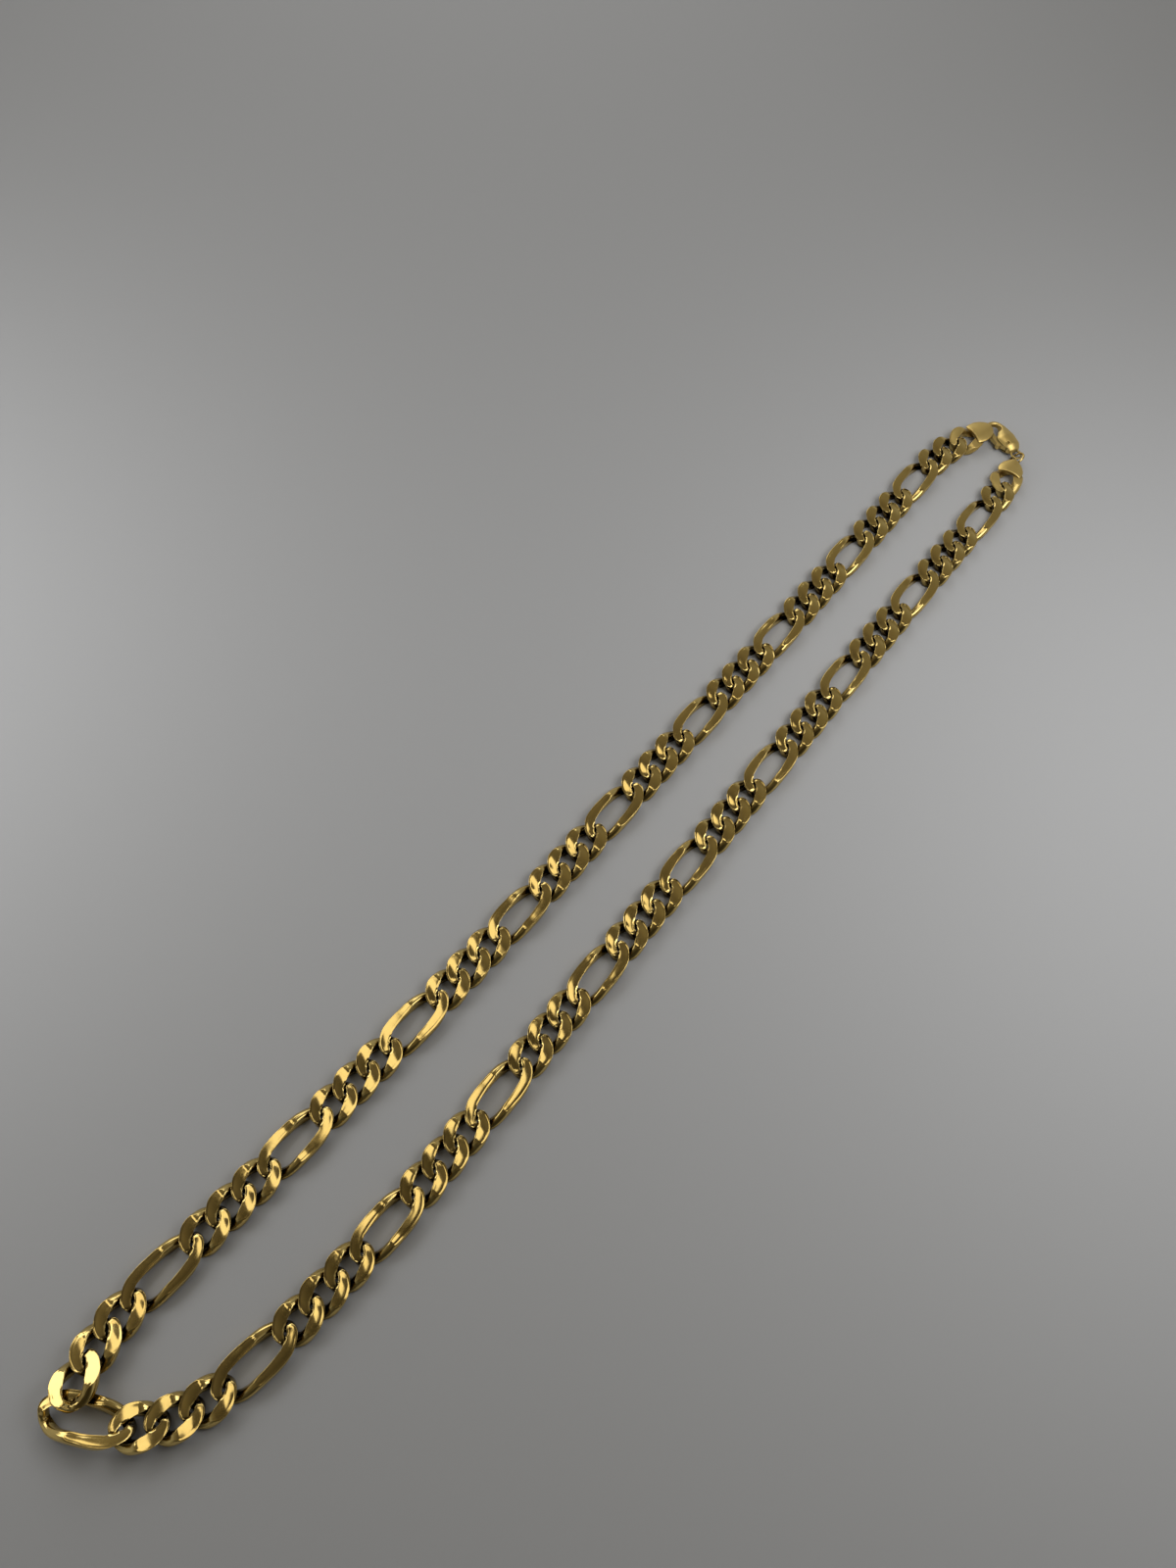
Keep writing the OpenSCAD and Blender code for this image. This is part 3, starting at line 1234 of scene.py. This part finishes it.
@dataclass
class Room:
    """The light of the room: pale walls low down, a dimmer ceiling, and shade on the viewer's side.

    The stops run from the horizon to straight up, and the viewer's from beside the viewer to straight
    at it. A roof window, pane_gain times as strong, is mirrored in parts of the links' flats and makes
    them two-toned.
    """

    stops: tuple[Stop, ...] = (
        Stop(0.0, "#C6C7C9"),
        Stop(0.45, "#B4B4B4"),
        Stop(0.68, "#979387"),
        Stop(0.85, "#888172"),
        Stop(0.93, "#736D62"),
        Stop(0.97, "#655F54"),
        Stop(1.0, "#565147"),
    )
    viewer: tuple[float, float, float] = (0.50, -0.72, 0.48)
    viewer_stops: tuple[Stop, ...] = (
        Stop(0.0, "#FFFFFF"),
        Stop(0.62, "#ECECEB"),
        Stop(0.80, "#8B8983"),
        Stop(1.0, "#5E5C55"),
    )
    pane_x: tuple[float, float] = (-0.60, -0.12)
    pane_y: tuple[float, float] = (0.015, 0.20)
    pane_edge: float = 0.012
    pane_colour: str = "#FFF7E6"
    pane_gain: float = 2.1
    strength: float = 0.64

    def light(self) -> bpy.types.World:
        """Makes the world.

        Returns:
            The world, set on the scene.
        """
        world = bpy.data.worlds.new("room")
        world.use_nodes = True
        tree = world.node_tree
        tree.nodes.clear()
        way = add_node(tree, "ShaderNodeTexCoord").outputs["Generated"]
        height = add_node(tree, "ShaderNodeSeparateXYZ", {"Vector": way}).outputs["Z"]
        toward = add_node(
            tree, "ShaderNodeVectorMath", {"0": way}, operation="DOT_PRODUCT", in1=self.viewer
        ).outputs["Value"]
        shades = []
        for source, stops in ((height, self.stops), (toward, self.viewer_stops)):
            ramp = add_node(tree, "ShaderNodeValToRGB", {"Fac": source})
            bands = ramp.color_ramp.elements
            while len(bands) < len(stops):
                bands.new(1.0)
            for band, stop in zip(bands, stops):
                band.position, band.color = stop.at, linear(stop.colour)
            shades.append(ramp.outputs["Color"])
        walls = add_node(
            tree,
            "ShaderNodeMix",
            {"6": shades[0], "7": shades[1]},
            data_type="RGBA",
            blend_type="MULTIPLY",
            in0=1.0,
        )
        pane = self.pane(tree, way)
        lit = add_node(
            tree,
            "ShaderNodeMix",
            {"0": pane, "6": walls.outputs[2]},
            data_type="RGBA",
            in7=linear(self.pane_colour),
        )
        power = add_node(
            tree,
            "ShaderNodeMath",
            {"0": pane},
            operation="MULTIPLY_ADD",
            in1=self.strength * (self.pane_gain - 1),
            in2=self.strength,
        )
        glow = {"Color": lit.outputs[2], "Strength": power.outputs["Value"]}
        back = add_node(tree, "ShaderNodeBackground", glow)
        add_node(tree, "ShaderNodeOutputWorld", {"Surface": back.outputs["Background"]})
        bpy.context.scene.world = world
        return world

    def pane(self, tree: Tree, way: Socket) -> Socket:
        """Adds the roof window, a pane with soft edges.

        Args:
            tree: The node tree.
            way: The direction that the world is seen in.

        Returns:
            One inside the pane, zero outside.
        """
        split = add_node(tree, "ShaderNodeSeparateXYZ", {"Vector": way}).outputs
        share = self.within(tree, split["Y"], self.pane_y)
        across = self.within(tree, split["X"], self.pane_x)
        above = add_node(tree, "ShaderNodeMath", {"0": split["Z"]}, operation="GREATER_THAN", in1=0.0)
        for other in (across, above.outputs["Value"]):
            both = {"0": share, "1": other}
            share = add_node(tree, "ShaderNodeMath", both, operation="MULTIPLY").outputs["Value"]
        return share

    def within(self, tree: Tree, value: Socket, span: tuple[float, float]) -> Socket:
        """Adds a soft-edged test.

        Args:
            tree: The node tree.
            value: The value tested.
            span: The least and the most that pass.

        Returns:
            One inside the span, falling to zero outside it.
        """
        sides = []
        for edge, out in zip(span, (-self.pane_edge, self.pane_edge)):
            side = add_node(
                tree, "ShaderNodeMapRange", {"Value": value}, From_Min=edge + out, From_Max=edge
            )
            sides.append(side.outputs["Result"])
        both = {"0": sides[0], "1": sides[1]}
        return add_node(tree, "ShaderNodeMath", both, operation="MULTIPLY").outputs["Value"]


@dataclass
class Camera:
    """The photograph's camera: a phone's main lens, held over the near end of the loop.

    Its place is in the loop's frame. `below` is how far it looks down, in degrees, and the focal
    length is in pixels of a frame as tall as `frame_px`.
    """

    place: tuple[float, float, float] = (47.0, -92.0, 220.8)
    below: float = 62.907
    heading: float = -34.7
    tilt: float = -5.644
    focal_px: float = 1202.0
    frame_px: float = 1600.0
    sensor: float = 36.0
    clip: tuple[float, float] = (10.0, 10000.0)

    def hang(self) -> bpy.types.Object:
        """Makes the camera.

        Returns:
            The camera, set on the scene.
        """
        data = bpy.data.cameras.new("camera")
        data.sensor_fit = "VERTICAL"
        data.sensor_height = self.sensor
        data.lens = self.sensor * self.focal_px / self.frame_px
        data.clip_start, data.clip_end = (v * MM for v in self.clip)
        h, p, r = math.radians(-self.heading), math.radians(self.below), math.radians(self.tilt)
        ahead = Vector((-math.sin(h) * math.cos(p), math.cos(h) * math.cos(p), -math.sin(p)))
        level = Vector((math.cos(h), math.sin(h), 0))
        down = Vector((math.sin(h) * math.sin(p), -math.cos(h) * math.sin(p), -math.cos(p)))
        right = level * math.cos(r) + down * math.sin(r)
        up = level * math.sin(r) - down * math.cos(r)
        basis = Matrix((right, up, -ahead)).transposed().to_4x4()
        basis.translation = (Vector(self.place) + Vector(SHIFT.tolist())) * MM
        item = bpy.data.objects.new("camera", data)
        item.matrix_world = basis
        bpy.context.scene.collection.objects.link(item)
        bpy.context.scene.camera = item
        return item


LEFT_SHELL = (
    Rib(1.35, 2.75),
    Rib(2.4, 3.1),
    Rib(3.8, 3.15),
    Rib(5.2, 2.8),
    Rib(6.4, 2.1),
    Rib(7.2, 1.1),
)
RIGHT_SHELL = (
    Rib(1.35, 2.75),
    Rib(2.4, 3.1),
    Rib(3.6, 3.0),
    Rib(4.8, 2.4),
    Rib(5.8, 1.4),
    Rib(6.4, 0.6),
)
# The hook goes through the left eye and the jump ring through the right one.
LEFT_EYE = Eye(x=6.44, z=1.47, r=1.1, thick=0.7)
RIGHT_EYE = Eye(x=6.45, z=1.4, r=0.95, thick=0.45)
LAMPS = (
    SoftBox("right", place=(90, 99, 160), target=(90, 99, 0), size=(140, 150), watts=0.174),
    SoftBox("left", place=(-188, -108, 125), target=(-188, -108, 0), size=(170, 150), watts=0.15),
    SoftBox("far", place=(-344, 325, 299), target=(-138, 195, 0), size=(300, 300), watts=0.42),
)


def main() -> None:
    """Builds the necklace, the table, the lights and the camera."""
    camera = Camera().hang()
    log.info("camera: lens %.2f mm", camera.data.lens)
    route = Route()
    left, right = route.left(), route.right()
    gold, cast = PolishedGold().build(), TumbledGold().build()
    Strand("chain_left", left[:-1]).dress(gold)
    Strand("chain_right", right[:-1]).dress(gold)
    EndLink("end_link_left", left[-1], LEFT_SHELL, slope=4.0, base_z=2.06, hole=LEFT_EYE).dress(cast)
    EndLink("end_link_right", right[-1], RIGHT_SHELL, slope=3.0, base_z=1.98, hole=RIGHT_EYE).dress(cast)
    CastPiece("clasp_body", voxel=0.07, rounds=18).dress(cast)
    CastPiece("clasp_lever", voxel=0.06, rounds=4, body=Body.LEVER).dress(cast)
    CastPiece("clasp_pin", voxel=0.04, rounds=3).dress(cast)
    JumpRing().dress(gold)
    Table().dress(TablePaper().build())
    Room().light()
    for lamp in LAMPS:
        lamp.hang()
        log.info("lamp %s: %.2f W", lamp.name, lamp.watts)
    bpy.context.scene.view_settings.view_transform = "Standard"
    bpy.context.scene.cycles.use_denoising = True


if __name__ == "__main__":
    logging.basicConfig(level=logging.INFO, format="%(name)s: %(message)s")
    main()
